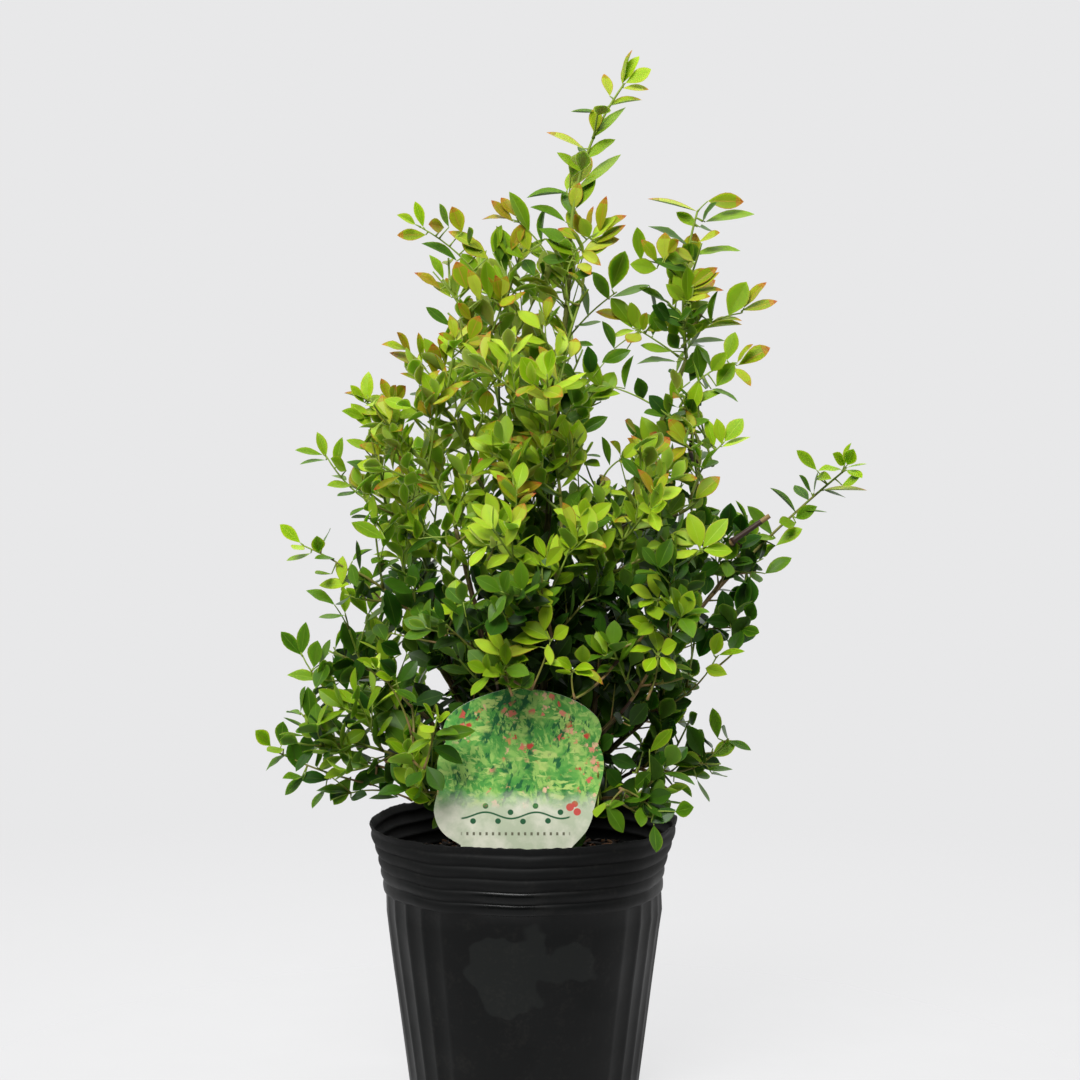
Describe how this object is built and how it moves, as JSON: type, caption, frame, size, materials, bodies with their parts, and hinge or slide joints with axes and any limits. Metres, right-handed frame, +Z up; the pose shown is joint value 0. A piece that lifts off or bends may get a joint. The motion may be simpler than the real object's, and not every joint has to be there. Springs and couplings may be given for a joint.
{
  "type": "potted blueberry bush",
  "caption": "Young wild blueberry bush in a soft round nursery pot with a corrugated collar and a plant label, for a patio, a windowsill or planting out.",
  "frame": {"origin": "centre of the pot's flat underside", "axes": "+Z up, -Y to the front, where the label faces, +X to the right as seen from the front"},
  "size_m": [0.2314, 0.1713, 0.4021],
  "materials": {
    "pot": "satin black",
    "potting_mix": "loose, dark brown",
    "label_card": "printed card",
    "bark": "greenish brown, finely ridged",
    "foliage": "satin green, younger leaves lighter"
  },
  "bodies": {
    "root": {"bough_back_high": "bark", "bough_back_left": "bark", "bough_back_low_left": "bark", "bough_back_low_right": "bark", "bough_back_right": "bark", "bough_far_right": "bark", "bough_front_high": "bark", "bough_front_low": "bark", "bough_front_middle": "bark", "bough_leader_foot": "bark", "bough_leader_spire": "bark", "bough_left_low": "bark", "bough_left_middle": "bark", "bough_left_shoulder": "bark", "bough_left_shoulder_high": "bark", "bough_left_side": "bark", "bough_low_front_left": "bark", "bough_low_front_right": "bark", "bough_lower_left": "bark", "bough_lower_right": "bark", "bough_right_front": "bark", "bough_right_front_low": "bark", "bough_right_low": "bark", "bough_right_side": "bark", "bough_right_spire": "bark", "bough_right_spire_foot": "bark", "bough_upper_left": "bark", "bough_upper_middle": "bark", "foliage_back_high": "foliage", "foliage_back_left": "foliage", "foliage_back_low_left": "foliage", "foliage_back_low_right": "foliage", "foliage_back_right": "foliage", "foliage_far_right": "foliage", "foliage_front_high": "foliage", "foliage_front_low": "foliage", "foliage_front_middle": "foliage", "foliage_leader_foot": "foliage", "foliage_leader_spire": "foliage", "foliage_left_low": "foliage", "foliage_left_middle": "foliage", "foliage_left_shoulder": "foliage", "foliage_left_shoulder_high": "foliage", "foliage_left_side": "foliage", "foliage_low_front_left": "foliage", "foliage_low_front_right": "foliage", "foliage_lower_left": "foliage", "foliage_lower_right": "foliage", "foliage_right_front": "foliage", "foliage_right_front_low": "foliage", "foliage_right_low": "foliage", "foliage_right_side": "foliage", "foliage_right_spire": "foliage", "foliage_right_spire_foot": "foliage", "foliage_upper_left": "foliage", "foliage_upper_middle": "foliage", "label": "label_card", "pot": "pot", "soil": "potting_mix", "trunk": "bark"}
  },
  "joints": []
}
